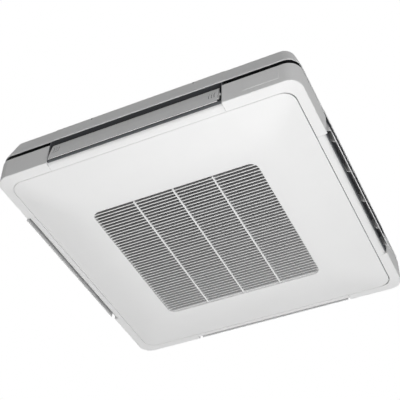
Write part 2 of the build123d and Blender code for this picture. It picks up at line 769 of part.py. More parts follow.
def make_filter():
    """Filter frame that lies on the grille's collar, and its net."""
    bottom = -188.0
    half = GRILLE_HALF + 4
    with BuildPart() as air_filter:
        with BuildSketch(Plane.XY.offset(bottom)):
            square(half, 18)
            with GridLocations(2 * half / 4, 2 * half / 4, 4, 4):
                Rectangle(2 * half / 4 - 5, 2 * half / 4 - 5, mode=Mode.SUBTRACT)
        extrude(amount=4)
        with BuildSketch(Plane.XY.offset(bottom + 1.5)):
            square(half - 4, 14)
        extrude(amount=0.6, mode=Mode.SUBTRACT)
    save(air_filter, "air_filter")
    with BuildPart() as net:
        with BuildSketch(Plane.XY.offset(bottom + 1.5)):
            square(half - 4, 14)
        extrude(amount=0.6)
    save(net, "filter_net")


# ---------------------------------------------------------------- fan and motor


def make_motor():
    flange_z = -6.0
    with BuildPart() as fan_motor:
        with BuildSketch(Plane.XZ):
            with BuildLine():
                FilletPolyline(
                    (0, flange_z),
                    (84, flange_z),
                    (84, flange_z - 3),
                    (MOTOR_R, flange_z - 3),
                    (MOTOR_R, MOTOR_BOTTOM_Z),
                    (18, MOTOR_BOTTOM_Z),
                    (18, MOTOR_BOTTOM_Z - 5),
                    (0, MOTOR_BOTTOM_Z - 5),
                    radius=(0.5, 0.5, 0.5, 8, 0.5, 0.5),
                )
                Line((0, MOTOR_BOTTOM_Z - 5), (0, flange_z))
            make_face()
        revolve(axis=Axis.Z)
        with BuildSketch(Plane.XY.offset(MOTOR_BOTTOM_Z - 5)):
            Circle(SHAFT_R + RUNNING)
        extrude(amount=25, mode=Mode.SUBTRACT)
        # cooling slots round the can
        with BuildSketch(Plane.XY.offset(MOTOR_BOTTOM_Z)):
            with PolarLocations(55, 8):
                SlotOverall(22, 6, rotation=90)
        extrude(amount=3, mode=Mode.SUBTRACT)
    save(fan_motor, "fan_motor")

    with BuildPart() as motor_mounts:
        with BuildSketch(Plane.XY.offset(flange_z)):
            with PolarLocations(76, 4, start_angle=45):
                Circle(8)
        extrude(amount=-SHEET - flange_z)
    save(motor_mounts, "motor_mounts")

    with BuildPart() as motor_shaft:
        with BuildSketch(Plane.XY.offset(-92)):
            Circle(SHAFT_R)
        extrude(amount=50)
        chamfer(motor_shaft.faces().sort_by(Axis.Z)[0].edges(), length=0.8)
    save(motor_shaft, "motor_shaft")


def make_rotor():
    """Turbo fan in one moulding: cone round the motor, backward-curved blades, inlet shroud."""
    plate_z = -31.0
    hub_z = -70.0
    inlet_r = 150.0
    blade_in = 138.0
    blade_out = ROTOR_R - 1.5
    with BuildPart() as rotor:
        # back plate and cone, one thin revolved line, with a boss on the shaft
        with BuildSketch(Plane.XZ):
            with BuildLine():
                FilletPolyline(
                    (ROTOR_R, plate_z),
                    (94, plate_z),
                    (80, hub_z),
                    (SHAFT_R + 1, hub_z),
                    radius=(14, 8),
                )
            trace(line_width=PLASTIC)
        revolve(axis=Axis.Z)
        with BuildSketch(Plane.XY.offset(-88)):
            Circle(14)
        extrude(amount=18)
        # shroud: curves down from the outer edge to the inlet collar
        with BuildSketch(Plane.XZ):
            with BuildLine():
                FilletPolyline(
                    (ROTOR_R, -122), (inlet_r + 0.5, -133), (inlet_r + 0.5, -146), radius=9
                )
            trace(line_width=PLASTIC)
        revolve(axis=Axis.Z)
        # blades lean back 40 degrees between their inner and outer edge
        lean = radians(40)
        for blade in range(BLADE_COUNT):
            with BuildSketch(Plane.XY.offset(-132).rotated((0, 0, 360 / BLADE_COUNT * blade))):
                with BuildLine():
                    tip = (blade_out * cos(lean), -blade_out * sin(lean))
                    middle = radians(24)
                    mid_r = (blade_in + blade_out) / 2
                    outer = (mid_r * cos(middle) + 7, -mid_r * sin(middle) + 7)
                    inner = (mid_r * cos(middle) + 2, -mid_r * sin(middle) + 2)
                    ThreePointArc((blade_in, 0), outer, tip)
                    ThreePointArc((blade_in, 0), inner, tip)
                make_face()
            extrude(amount=plate_z + 132)
        # the blades end on the shroud's slope
        with BuildSketch(Plane.XZ):
            with BuildLine():
                Polyline(
                    (inlet_r + 4, -134), (ROTOR_R + 5, -122.8), (ROTOR_R + 5, -150),
                    (inlet_r + 4, -150), close=True,
                )
            make_face()
        revolve(axis=Axis.Z, mode=Mode.SUBTRACT)
        with BuildSketch(Plane.XY.offset(-100)):
            Circle(SHAFT_R)
        extrude(amount=40, mode=Mode.SUBTRACT)
    save(rotor, "fan_rotor")

    with BuildPart() as fan_nut:
        with BuildSketch(Plane.XY.offset(-95)):
            RegularPolygon(9, 6)
            Circle(SHAFT_R, mode=Mode.SUBTRACT)
        extrude(amount=7)
    save(fan_nut, "fan_nut")


def make_bell_mouth():
    """Flat plate with the round nozzle that leads the air into the fan."""
    plate_z = -159.0
    flare_r = 176.0
    with BuildPart() as bell_mouth:
        with BuildSketch(Plane.XY.offset(plate_z - 1)):
            square(298, 38)
            Circle(flare_r, mode=Mode.SUBTRACT)
        extrude(amount=2)
        with BuildSketch(Plane.XZ):
            with BuildLine():
                FilletPolyline(
                    (THROAT_R - 1, -138), (THROAT_R - 1, plate_z), (flare_r + 2, plate_z), radius=16
                )
            trace(line_width=2)
        revolve(axis=Axis.Z)
    save(bell_mouth, "bell_mouth")


# ---------------------------------------------------------------- heat exchanger and drain


def make_coil():
    """Fin pack bent round three corners, its end plates and its hairpin bends."""
    with BuildPart() as coil_fins:
        with BuildSketch(Plane.XY.offset(COIL_BOTTOM_Z)):
            with BuildLine():
                FilletPolyline(
                    (COIL_END, -COIL_MID),
                    (-COIL_MID, -COIL_MID),
                    (-COIL_MID, COIL_MID),
                    (COIL_MID, COIL_MID),
                    (COIL_MID, -COIL_END),
                    radius=COIL_R,
                )
            trace(line_width=COIL_THICK)
        extrude(amount=-SHEET - COIL_BOTTOM_Z)
    save(coil_fins, "coil_fins")

    # both end plates and the partition that closes the open corner are one bent sheet
    plate = COIL_END + SHEET / 2
    with BuildPart() as end_plates:
        with BuildSketch(Plane.XY.offset(PAN_TOP_Z)):
            with BuildLine():
                FilletPolyline(
                    (plate, -COIL_MID - 25),
                    (plate, -COIL_MID + 25),
                    (COIL_MID - 25, -plate),
                    (COIL_MID + 25, -plate),
                    radius=3,
                )
            trace(line_width=SHEET)
        extrude(amount=-SHEET - PAN_TOP_Z)
    save(end_plates, "coil_end_plates")

    face = COIL_END + SHEET
    with BuildPart() as bends:
        for level in range(COIL_LEVELS):
            z = COIL_FIRST_Z + level * COIL_PITCH
            start = (face, -COIL_MID - COIL_ROW, z)
            with BuildLine():
                ThreePointArc(
                    start, (face + COIL_ROW, -COIL_MID, z), (face, -COIL_MID + COIL_ROW, z)
                )
            with BuildSketch(Plane(origin=start, z_dir=(1, 0, 0))):
                Circle(TUBE_R)
            sweep()
    save(bends, "coil_bends")


GAS_X = 388.0
LIQUID_X = 348.0
PIPE_END_Y = -400.0
PIPE_WINDOW = (92.0, 60.0)  # opening in the top plate over both pipe ends
GAS_R = 7.94
LIQUID_R = 4.76
UNION_BOTTOM_Z = -68.0
UNION_TOP_Z = -52.0
UNION_COLLAR = 5.0
UNION_WALL = 3.17  # from the pipe's surface out to the union's thread
NUT_TOP_Z = -42.0
NUT_LENGTH = 20.0
NUT_SHANK = 8.0  # upper part of the nut, bored to the pipe
PIPE_PLAY = 0.1
GAS_NUT_WIDTH = 29.0  # across flats
LIQUID_NUT_WIDTH = 22.0


def make_pipe(name, header_x, header_r, radius, bend, points):
    """Header on the coil's right end, its branch tubes, and the bent pipe to its flare union."""
    face = COIL_END + SHEET
    header_y = -face - 12
    end_x = points[-1][0]
    with BuildPart() as pipe:
        with BuildSketch(Plane.XY.offset(COIL_FIRST_Z - 8)):
            with Locations((header_x, header_y)):
                Circle(header_r)
        extrude(amount=(COIL_LEVELS - 1) * COIL_PITCH + 16)
        for level in range(COIL_LEVELS):
            with BuildSketch(Plane.XZ.offset(face)):
                with Locations((header_x, COIL_FIRST_Z + level * COIL_PITCH)):
                    Circle(TUBE_R)
            extrude(amount=12)
        with BuildLine() as route:
            FilletPolyline(*points, radius=bend)
        with BuildSketch(Plane(origin=route.line @ 0, z_dir=route.line % 0)):
            Circle(radius)
        sweep()
        # union brazed on the end: a collar, then the threaded part that the nut grips
        for top, union_r in (
            (UNION_BOTTOM_Z + UNION_COLLAR, radius + UNION_WALL + 1.5),
            (UNION_TOP_Z, radius + UNION_WALL),
        ):
            with BuildSketch(Plane.XY.offset(UNION_BOTTOM_Z)):
                with Locations((end_x, PIPE_END_Y)):
                    Circle(union_r)
            extrude(amount=top - UNION_BOTTOM_Z)
        with BuildSketch(Plane.XY.offset(UNION_TOP_Z)):
            with Locations((end_x, PIPE_END_Y)):
                Circle(radius - 1)
        extrude(amount=-30, mode=Mode.SUBTRACT)
    save(pipe, name)


def make_pipes():
    """Gas and liquid pipes, turned up side by side under the top plate's window, and their nuts."""
    header_y = -COIL_END - SHEET - 12
    low_z = KNOCKOUT_Z
    gas_header_x = COIL_MID + COIL_ROW
    liquid_header_x = COIL_MID - COIL_ROW
    gas_route = [
        (gas_header_x, header_y, -112),
        (GAS_X, header_y, low_z),
        (GAS_X, PIPE_END_Y, low_z),
        (GAS_X, PIPE_END_Y, UNION_BOTTOM_Z),
    ]
    liquid_route = [
        (liquid_header_x, header_y, -100),
        (liquid_header_x, header_y - 40, -100),
        (LIQUID_X, header_y - 90, low_z),
        (LIQUID_X, PIPE_END_Y, low_z),
        (LIQUID_X, PIPE_END_Y, UNION_BOTTOM_Z),
    ]
    make_pipe("gas_pipe", gas_header_x, 8, GAS_R, 40, gas_route)
    make_pipe("liquid_pipe", liquid_header_x, 5, LIQUID_R, 18, liquid_route)

    # each nut is bored wide over the thread and to the pipe's size above it
    with BuildPart() as flare_nuts:
        for x, radius, width in (
            (GAS_X, GAS_R, GAS_NUT_WIDTH),
            (LIQUID_X, LIQUID_R, LIQUID_NUT_WIDTH),
        ):
            with BuildSketch(Plane.XY.offset(NUT_TOP_Z - NUT_LENGTH)):
                with Locations((x, PIPE_END_Y)):
                    RegularPolygon(width / 2, 6, major_radius=False)
                    Circle(radius + UNION_WALL + RUNNING, mode=Mode.SUBTRACT)
            extrude(amount=NUT_LENGTH - NUT_SHANK)
            with BuildSketch(Plane.XY.offset(NUT_TOP_Z - NUT_SHANK)):
                with Locations((x, PIPE_END_Y)):
                    RegularPolygon(width / 2, 6, major_radius=False)
                    Circle(radius + PIPE_PLAY, mode=Mode.SUBTRACT)
            extrude(amount=NUT_SHANK)
    save(flare_nuts, "flare_nuts")


def make_drain_pan():
    """Foam tray under the coil with a sump in one corner."""
    with BuildPart() as drain_pan:
        with BuildSketch(Plane.XY.offset(FRAME_TOP_Z)):
            square(345, 62)
            square(235, 40, mode=Mode.SUBTRACT)
            with Locations((-SUMP_MID, SUMP_MID)):
                RectangleRounded(106, 106, 12)
        extrude(amount=PAN_TOP_Z - FRAME_TOP_Z)
        with BuildSketch(Plane.XY.offset(TROUGH_FLOOR_Z)):
            square(334, 52)
            square(274, 42, mode=Mode.SUBTRACT)
            with Locations((-SUMP_MID + 6, SUMP_MID - 6)):
                RectangleRounded(92, 92, 8)
        extrude(amount=30, mode=Mode.SUBTRACT)
        # pads that carry the coil
        with BuildSketch(Plane.XY.offset(TROUGH_FLOOR_Z)):
            with PolarLocations(COIL_MID, 4):
                with GridLocations(0, 280, 1, 2):
                    Rectangle(30, 16)
        extrude(amount=COIL_BOTTOM_Z - TROUGH_FLOOR_Z)
    save(drain_pan, "drain_pan")


def make_drain_parts():
    px, py = PUMP_XY
    with BuildPart() as drain_pump:
        with BuildSketch(Plane.XY.offset(PAN_TOP_Z)):
            with Locations((-SUMP_MID, py)):
                RectangleRounded(104, 30, 4)
            with Locations(FLOAT_XY):
                RectangleRounded(16, 16, 3)
        extrude(amount=2)
        with BuildSketch(Plane.XY.offset(PAN_TOP_Z)):
            with Locations(PUMP_XY):
                Circle(24)
        extrude(amount=62)
        chamfer(drain_pump.faces().sort_by(Axis.Z)[-1].edges(), length=3)
        with BuildSketch(Plane.XY.offset(TROUGH_FLOOR_Z + 3)):
            with Locations(PUMP_XY):
                Circle(9)
                Circle(6, mode=Mode.SUBTRACT)
        extrude(amount=PAN_TOP_Z - TROUGH_FLOOR_Z - 3)
        # the float's stem hangs from the same plate and ends in a foot
        with BuildSketch(Plane.XY.offset(TROUGH_FLOOR_Z + 1)):
            with Locations(FLOAT_XY):
                Circle(2)
        extrude(amount=PAN_TOP_Z - TROUGH_FLOOR_Z - 1)
        with BuildSketch(Plane.XY.offset(TROUGH_FLOOR_Z + 1)):
            with Locations(FLOAT_XY):
                Circle(4)
        extrude(amount=1)
    save(drain_pump, "drain_pump")

    with BuildPart() as drain_hose:
        with BuildLine() as route:
            FilletPolyline(
                (px, py, PAN_TOP_Z + 62),
                (px, py, -44),
                (*SOCKET_XY, -44),
                (*SOCKET_XY, -30),
                radius=13,
            )
        with BuildSketch(Plane(origin=route.line @ 0, z_dir=route.line % 0)):
            Circle(8)
        sweep()
        # socket for the drain pipe
        with BuildSketch(Plane.XY.offset(-32)):
            with Locations(SOCKET_XY):
                Circle(SOCKET_BORE_R + 3)
        extrude(amount=28)
        with BuildSketch(Plane.XY.offset(-30)):
            with Locations(SOCKET_XY):
                Circle(SOCKET_BORE_R)
        extrude(amount=30, mode=Mode.SUBTRACT)
    save(drain_hose, "drain_hose")

    # the float slides on the stem and rests on its foot
    with BuildPart() as switch_float:
        with BuildSketch(Plane.XY.offset(TROUGH_FLOOR_Z + 2)):
            with Locations(FLOAT_XY):
                Circle(8)
                Circle(2 + RUNNING, mode=Mode.SUBTRACT)
        extrude(amount=9)
    save(switch_float, "switch_float")


def make_insulation():
    """Foam under the top plate, cut off at the coil's open corner."""
    with BuildPart() as top_insulation:
        with BuildSketch(Plane.XY.offset(-SHEET - 8)):
            square(278, 36)
            Circle(122, mode=Mode.SUBTRACT)
            with Locations((278, -278)):
                Rectangle(92, 92, rotation=45, mode=Mode.SUBTRACT)
        extrude(amount=8)
    save(top_insulation, "top_insulation")


def make_control_box():
    """Steel box under the bell mouth's plate, open below, with a slip-on lid."""
    top = -160.0
    height = 18.0
    with BuildPart() as control_box:
        with BuildSketch(Plane.XY.offset(top - height)):
            with Locations((0, -240)):
                Rectangle(300, 90)
        extrude(amount=height)
        with BuildSketch(Plane.XY.offset(top - height)):
            with Locations((0, -240)):
                Rectangle(300 - 2 * SHEET, 90 - 2 * SHEET)
        extrude(amount=height - SHEET, mode=Mode.SUBTRACT)
    save(control_box, "control_box")
    with BuildPart() as lid:
        with BuildSketch(Plane.XY.offset(top - height - SHEET)):
            with Locations((0, -240)):
                Rectangle(304, 94)
        extrude(amount=SHEET)
        with BuildSketch(Plane.XY.offset(top - height)):
            with Locations((0, -240)):
                Rectangle(304, 94)
                Rectangle(300, 90, mode=Mode.SUBTRACT)
        extrude(amount=6)
    save(lid, "control_box_lid")


def make_grommet():
    """Rubber grommet for the supply cable, flush in the top plate."""
    with BuildPart() as grommet:
        with BuildSketch(Plane.XZ):
            with BuildLine():
                Polyline(
                    (8, 0), (11, 0), (11, -SHEET), (14, -SHEET), (14, -6), (8, -6), close=True
                )
            make_face()
        revolve(axis=Axis.Z)
    with BuildPart() as placed:
        add(grommet.part.moved(Location((0, -352, 0))))
    save(placed, "cable_grommet")


make_casing()
make_casing_screws()
make_top_plate()
make_hangers()
make_posts()
make_corner_covers()
make_outlet_frames()
make_flaps()
make_swing_motors()
make_panel_frame()
make_catches()
make_intake_panel()
make_grille()
make_filter()
make_motor()
make_rotor()
make_bell_mouth()
make_coil()
make_pipes()
make_drain_pan()
make_drain_parts()
make_insulation()
make_control_box()
make_grommet()
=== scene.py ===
# Looks of a square white air conditioner that hangs below a ceiling, seen from below.
# Metres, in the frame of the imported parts: z = 0 is the top face, -Y the front, +X the right side.
from math import copysign, cos, pi, radians, sin

import bmesh
import bpy
from mathutils import Matrix, Vector


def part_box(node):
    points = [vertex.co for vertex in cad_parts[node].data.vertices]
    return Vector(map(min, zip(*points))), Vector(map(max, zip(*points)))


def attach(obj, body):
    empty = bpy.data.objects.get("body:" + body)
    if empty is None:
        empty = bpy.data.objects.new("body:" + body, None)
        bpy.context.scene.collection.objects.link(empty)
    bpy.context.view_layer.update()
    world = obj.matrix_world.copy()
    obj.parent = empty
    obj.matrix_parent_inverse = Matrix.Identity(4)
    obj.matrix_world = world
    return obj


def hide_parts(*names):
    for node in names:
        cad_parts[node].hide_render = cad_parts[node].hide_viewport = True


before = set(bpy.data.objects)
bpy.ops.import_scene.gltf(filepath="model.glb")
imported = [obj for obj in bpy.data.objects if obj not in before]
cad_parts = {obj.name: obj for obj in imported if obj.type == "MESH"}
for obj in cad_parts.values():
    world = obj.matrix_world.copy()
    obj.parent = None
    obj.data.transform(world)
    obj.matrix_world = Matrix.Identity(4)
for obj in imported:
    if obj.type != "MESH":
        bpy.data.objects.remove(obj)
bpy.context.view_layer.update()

# ---------------------------------------------------------------- camera
# The photograph looks up at the unit from its front right, through a long lens. The place and
# turn come from fitting the square body's corners, edges and grille to the picture.
CAMERA_AT = (0.954448, -1.995358, -2.128155)
CAMERA_RIGHT = Vector((0.90428, 0.4264, 0.02132))
CAMERA_UP = Vector((0.28101, -0.63207, 0.72217))
CAMERA_BACK = Vector((0.32141, -0.64705, -0.69139))
LENS_MM = 86.28
SENSOR_MM = 36.0

camera_data = bpy.data.cameras.new("camera")
camera_data.lens = LENS_MM
camera_data.sensor_width = SENSOR_MM
camera = bpy.data.objects.new("camera", camera_data)
camera_turn = Matrix((CAMERA_RIGHT, CAMERA_UP, CAMERA_BACK)).transposed().to_4x4()
camera.matrix_world = Matrix.Translation(CAMERA_AT) @ camera_turn
bpy.context.scene.collection.objects.link(camera)
bpy.context.scene.camera = camera
bpy.context.scene.view_settings.view_transform = "Standard"

# ---------------------------------------------------------------- room
# A pale matt floor well below the unit, and a white surround. The floor glows a little to the
# camera alone, and the surround is white to the camera and in reflections. What lights the unit
# from all round is only the dim grey of a shaded room.
FLOOR_Z = -4.6
FLOOR_HALF = 9.0
FLOOR_PALE = "#f4f4f2"
FLOOR_ROUGH = 0.9
FLOOR_SEEN = 0.8  # how pale the floor shows to the camera, apart from the lamps' light on it
SURROUND_WHITE = "#ffffff"
ROOM_LIGHT = 0.06


def linear(code):
    """sRGB hex colour as the linear values that the shaders take."""
    parts = [int(code[i : i + 2], 16) / 255 for i in (1, 3, 5)]
    return [c / 12.92 if c <= 0.04045 else ((c + 0.055) / 1.055) ** 2.4 for c in parts] + [1.0]


def add_node(tree, kind, settings=None, links=None):
    """One shader node: its properties and socket values, and the sockets that feed it."""
    node = tree.nodes.new(kind)
    for name, value in (settings or {}).items():
        if isinstance(name, str) and hasattr(node, name):
            setattr(node, name, value)
        else:
            node.inputs[name].default_value = value
    for name, source in (links or {}).items():
        tree.links.new(source, node.inputs[name])
    return node


def new_finish(name, metallic=0.0):
    """Material with only a shader and an output, and the coordinates of the piece it is on."""
    material = bpy.data.materials.new(name)
    material.use_nodes = True
    tree = material.node_tree
    tree.nodes.clear()
    shader = add_node(tree, "ShaderNodeBsdfPrincipled", {"Metallic": metallic})
    add_node(tree, "ShaderNodeOutputMaterial", links={"Surface": shader.outputs["BSDF"]})
    place = add_node(tree, "ShaderNodeTexCoord").outputs["Object"]
    return material, tree, shader, place


world = bpy.data.worlds.new("white_surround")
bpy.context.scene.world = world
world.use_nodes = True
tree = world.node_tree
tree.nodes.clear()
rays = add_node(tree, "ShaderNodeLightPath")
seen = add_node(
    tree,
    "ShaderNodeMath",
    {"operation": "MAXIMUM"},
    {0: rays.outputs["Is Camera Ray"], 1: rays.outputs["Is Glossy Ray"]},
)
seen = add_node(
    tree,
    "ShaderNodeMath",
    {"operation": "MAXIMUM"},
    {0: seen.outputs[0], 1: rays.outputs["Is Transmission Ray"]},
)
lit, shown = [
    add_node(tree, "ShaderNodeBackground", {"Color": linear(SURROUND_WHITE), "Strength": strength})
    for strength in (ROOM_LIGHT, 1.0)
]
surround = add_node(
    tree,
    "ShaderNodeMixShader",
    links={0: seen.outputs[0], 1: lit.outputs[0], 2: shown.outputs[0]},
)
add_node(tree, "ShaderNodeOutputWorld", links={"Surface": surround.outputs[0]})

floor_paint, tree, shader, place = new_finish("floor_matt_paint")
shader.inputs["Base Color"].default_value = linear(FLOOR_PALE)
shader.inputs["Roughness"].default_value = FLOOR_ROUGH
shader.inputs["Emission Color"].default_value = linear(FLOOR_PALE)
rays = add_node(tree, "ShaderNodeLightPath")
glow = add_node(
    tree,
    "ShaderNodeMath",
    {"operation": "MULTIPLY", 1: FLOOR_SEEN},
    {0: rays.outputs["Is Camera Ray"]},
)
tree.links.new(glow.outputs[0], shader.inputs["Emission Strength"])

shape = bmesh.new()
bmesh.ops.create_grid(shape, x_segments=1, y_segments=1, size=FLOOR_HALF)
bmesh.ops.translate(shape, verts=shape.verts, vec=(0, 0, FLOOR_Z))
floor_mesh = bpy.data.meshes.new("floor")
shape.to_mesh(floor_mesh)
shape.free()
floor_mesh.materials.append(floor_paint)
floor = bpy.data.objects.new("floor", floor_mesh)
bpy.context.scene.collection.objects.link(floor)

# Wide soft lamps, each aimed at the unit: name, place, size, watts. Most of the light comes from
# straight below and from below right, as the photograph's shadows show. The one above and behind
# only reaches what the photograph doesn't show.
LAMPS = (
    ("lamp_below", (0.0, 0.0, -3.6), 3.0, 77.0),
    ("lamp_below_right", (2.4, -2.0, -2.4), 1.8, 61.0),
    ("lamp_below_front", (0.0, -2.6, -2.6), 2.5, 10.0),
    ("lamp_front_high", (0.0, -4.0, 1.2), 2.5, 9.0),
    ("lamp_above_rear", (-2.6, 2.8, 2.0), 2.5, 50.0),
)
UNIT_MIDDLE = Vector((0, 0, -0.1))

for name, at, size, watts in LAMPS:
    lamp = bpy.data.lights.new(name, "AREA")
    lamp.shape = "SQUARE"
    lamp.size = size
    lamp.energy = watts
    holder = bpy.data.objects.new(name, lamp)
    holder.location = at
    holder.rotation_mode = "QUATERNION"
    holder.rotation_quaternion = (Vector(at) - UNIT_MIDDLE).to_track_quat("Z", "Y")
    holder.visible_camera = False
    bpy.context.scene.collection.objects.link(holder)

# ---------------------------------------------------------------- steel body
# Top plate, hanger brackets, coil end plates and control box are pressed from hot-dip
# galvanised sheet. The zinc froze in flat crystals, each a slightly different grey and gloss.
CORNERS = ("front_right", "rear_right", "rear_left", "front_left")
ZINC_GREYS = ("#9ea2a5", "#b9bcbe")
ZINC_ROUGH = (0.34, 0.52)
SPANGLE_MM = 13.0
MIX_FROM, MIX_TO, MIX_RESULT = 6, 7, 2  # a Mix node's sockets for colours


def dress(material, *names):
    """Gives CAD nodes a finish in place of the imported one."""
    for name in names:
        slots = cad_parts[name].data.materials
        slots.clear()
        slots.append(material)


def vary(tree, shader, pattern, colours, roughs):
    """Colour and roughness that follow one pattern, each between two values."""
    tint = add_node(
        tree,
        "ShaderNodeMix",
        {"data_type": "RGBA", MIX_FROM: linear(colours[0]), MIX_TO: linear(colours[1])},
        {0: pattern},
    )
    tree.links.new(tint.outputs[MIX_RESULT], shader.inputs["Base Color"])
    gloss = add_node(
        tree, "ShaderNodeMapRange", {"To Min": roughs[0], "To Max": roughs[1]}, {"Value": pattern}
    )
    tree.links.new(gloss.outputs[0], shader.inputs["Roughness"])


galvanised, tree, shader, place = new_finish("galvanised_sheet", 1.0)
crystals = add_node(
    tree, "ShaderNodeTexVoronoi", {"Scale": 1000 / SPANGLE_MM}, {"Vector": place}
)
grey = add_node(tree, "ShaderNodeRGBToBW", links={0: crystals.outputs["Color"]})
vary(tree, shader, grey.outputs[0], ZINC_GREYS, ZINC_ROUGH)
dress(galvanised, "top_plate", "coil_end_plates", "control_box", "control_box_lid")
dress(galvanised, *(f"hanger_bracket_{corner}" for corner in CORNERS))

# ---------------------------------------------------------------- corner posts
# Folded steel posts behind the corner gaps, powder coated black, and darker still as painted shade
# of the deep gaps. Powder coat flows out with a faint orange peel a couple of millimetres across.
# the coat's black, made darker as painted shade of the deep corner gaps
POST_BLACK_AND_SHADE = ("#131416", "#1a1b1d")
POST_ROUGH = (0.45, 0.58)
POST_PATCH_MM = 83.0
PEEL_MM = 2.2
PEEL_DEPTH_MM = 0.06


def emboss(tree, shader, pattern, depth_mm, strength=0.5):
    """Relief of a real depth that follows one pattern."""
    bump = add_node(
        tree,
        "ShaderNodeBump",
        {"Strength": strength, "Distance": depth_mm / 1000},
        {"Height": pattern},
    )
    tree.links.new(bump.outputs[0], shader.inputs["Normal"])


powder_black, tree, shader, place = new_finish("powder_coat_black_and_shade")
patches = add_node(
    tree, "ShaderNodeTexNoise", {"Scale": 1000 / POST_PATCH_MM, "Detail": 4.0}, {"Vector": place}
)
# near black: the coat's own black deepened as painted shade
vary(tree, shader, patches.outputs["Fac"], POST_BLACK_AND_SHADE, POST_ROUGH)
peel = add_node(
    tree, "ShaderNodeTexNoise", {"Scale": 1000 / PEEL_MM, "Detail": 1.0}, {"Vector": place}
)
emboss(tree, shader, peel.outputs["Fac"], PEEL_DEPTH_MM)
dress(powder_black, *(f"corner_post_{corner}" for corner in CORNERS))

# ---------------------------------------------------------------- foam
# Liner under the top plate, motor mounts and cable grommet: closed-cell foam and rubber,
# matt, nearly black, with fine pores.
FOAM_GREYS = ("#3d3e41", "#333437")
FOAM_ROUGH = (0.82, 0.95)
PORE_MM = 1.8
PORE_DEPTH_MM = 0.3

foam_rubber, tree, shader, place = new_finish("closed_cell_foam")
pores = add_node(tree, "ShaderNodeTexVoronoi", {"Scale": 1000 / PORE_MM}, {"Vector": place})
vary(tree, shader, pores.outputs["Distance"], FOAM_GREYS, FOAM_ROUGH)
emboss(tree, shader, pores.outputs["Distance"], PORE_DEPTH_MM)
dress(foam_rubber, "top_insulation", "motor_mounts", "cable_grommet")

# ---------------------------------------------------------------- fan and its motor
# Motor can in black stove enamel on a bright turned shaft, whose lathe marks run round it. Fan
# and bell mouth are moulded in grey polypropylene, slightly waxy.
ENAMEL_BLACKS = ("#2b2d30", "#1a1b1d")
ENAMEL_ROUGH = (0.28, 0.42)
ENAMEL_PATCH_MM = 40.0
STEEL_GREYS = ("#8d9093", "#a9acaf")
STEEL_ROUGH = (0.24, 0.36)
LATHE_MARK_MM = 0.785
FAN_GREYS = ("#8e9092", "#86888a")
FAN_ROUGH = (0.44, 0.56)
FAN_PATCH_MM = 111.0

enamel, tree, shader, place = new_finish("stove_enamel_black")
patches = add_node(
    tree, "ShaderNodeTexNoise", {"Scale": 1000 / ENAMEL_PATCH_MM, "Detail": 3.0}, {"Vector": place}
)
vary(tree, shader, patches.outputs["Fac"], ENAMEL_BLACKS, ENAMEL_ROUGH)
dress(enamel, "fan_motor")

turned_steel, tree, shader, place = new_finish("turned_steel", 1.0)
marks_per_metre = 1000 / LATHE_MARK_MM
marks = add_node(
    tree,
    "ShaderNodeTexWave",
    # a Wave node draws 10 / pi bands for each unit of its scale
    {"bands_direction": "Z", "Scale": marks_per_metre * pi / 10, "Distortion": 1.5},
    {"Vector": place},
)
vary(tree, shader, marks.outputs["Fac"], STEEL_GREYS, STEEL_ROUGH)
dress(turned_steel, "motor_shaft", "fan_nut", "panel_catches")

fan_plastic, tree, shader, place = new_finish("polypropylene_grey")
patches = add_node(
    tree, "ShaderNodeTexNoise", {"Scale": 1000 / FAN_PATCH_MM, "Detail": 3.0}, {"Vector": place}
)
vary(tree, shader, patches.outputs["Fac"], FAN_GREYS, FAN_ROUGH)
dress(fan_plastic, "fan_rotor", "bell_mouth")

# ---------------------------------------------------------------- coil and pipes
# Fins are plates of bare aluminium foil, crosswise to the tubes; their gaps are painted shade.
# Bends and pipes are drawn copper, dulled by handling. The flare nuts are machined brass.
FIN_PITCH_MM = 3.2  # the real pitch is half of it; coarser here, so that it shows
FIN_EDGE = (0.1, 0.25)  # shares of the pitch between which the gap turns into a fin
# the first grey is painted shade in the gaps between fins, the second the fins' own aluminium
GAP_SHADE_AND_FIN_GREYS = ("#5f6265", "#c9ccce")
FIN_ROUGH = (0.6, 0.35)
FIN_METALLIC = 0.9
FIN_RELIEF_MM = 0.8
COPPER_REDS = ("#c98a66", "#a5694a")
COPPER_ROUGH = (0.22, 0.46)
COPPER_STAIN_MM = 22.2
BRASS_YELLOWS = ("#d0b06a", "#b89650")
BRASS_ROUGH = (0.2, 0.34)
BRASS_STAIN_MM = 16.7

fins, tree, shader, place = new_finish("aluminium_fins", FIN_METALLIC)
axes = add_node(tree, "ShaderNodeSeparateXYZ", links={0: place})
wide = add_node(tree, "ShaderNodeMath", {"operation": "ABSOLUTE"}, {0: axes.outputs["X"]})
deep = add_node(tree, "ShaderNodeMath", {"operation": "ABSOLUTE"}, {0: axes.outputs["Y"]})
on_side = add_node(
    tree, "ShaderNodeMath", {"operation": "GREATER_THAN"}, {0: wide.outputs[0], 1: deep.outputs[0]}
)
along = add_node(
    tree,
    "ShaderNodeMix",
    {"data_type": "FLOAT"},
    {0: on_side.outputs[0], 2: axes.outputs["X"], 3: axes.outputs["Y"]},
)
pitches = add_node(
    tree, "ShaderNodeMath", {"operation": "MULTIPLY", 1: 1000 / FIN_PITCH_MM}, {0: along.outputs[0]}
)
stripe = add_node(
    tree, "ShaderNodeMath", {"operation": "PINGPONG", 1: 0.5}, {0: pitches.outputs[0]}
)
sharp = add_node(
    tree,
    "ShaderNodeMapRange",
    {"From Min": FIN_EDGE[0], "From Max": FIN_EDGE[1]},
    {"Value": stripe.outputs[0]},
)
# painted shade between the fins
vary(tree, shader, sharp.outputs[0], GAP_SHADE_AND_FIN_GREYS, FIN_ROUGH)
emboss(tree, shader, sharp.outputs[0], FIN_RELIEF_MM, strength=1.0)
dress(fins, "coil_fins")

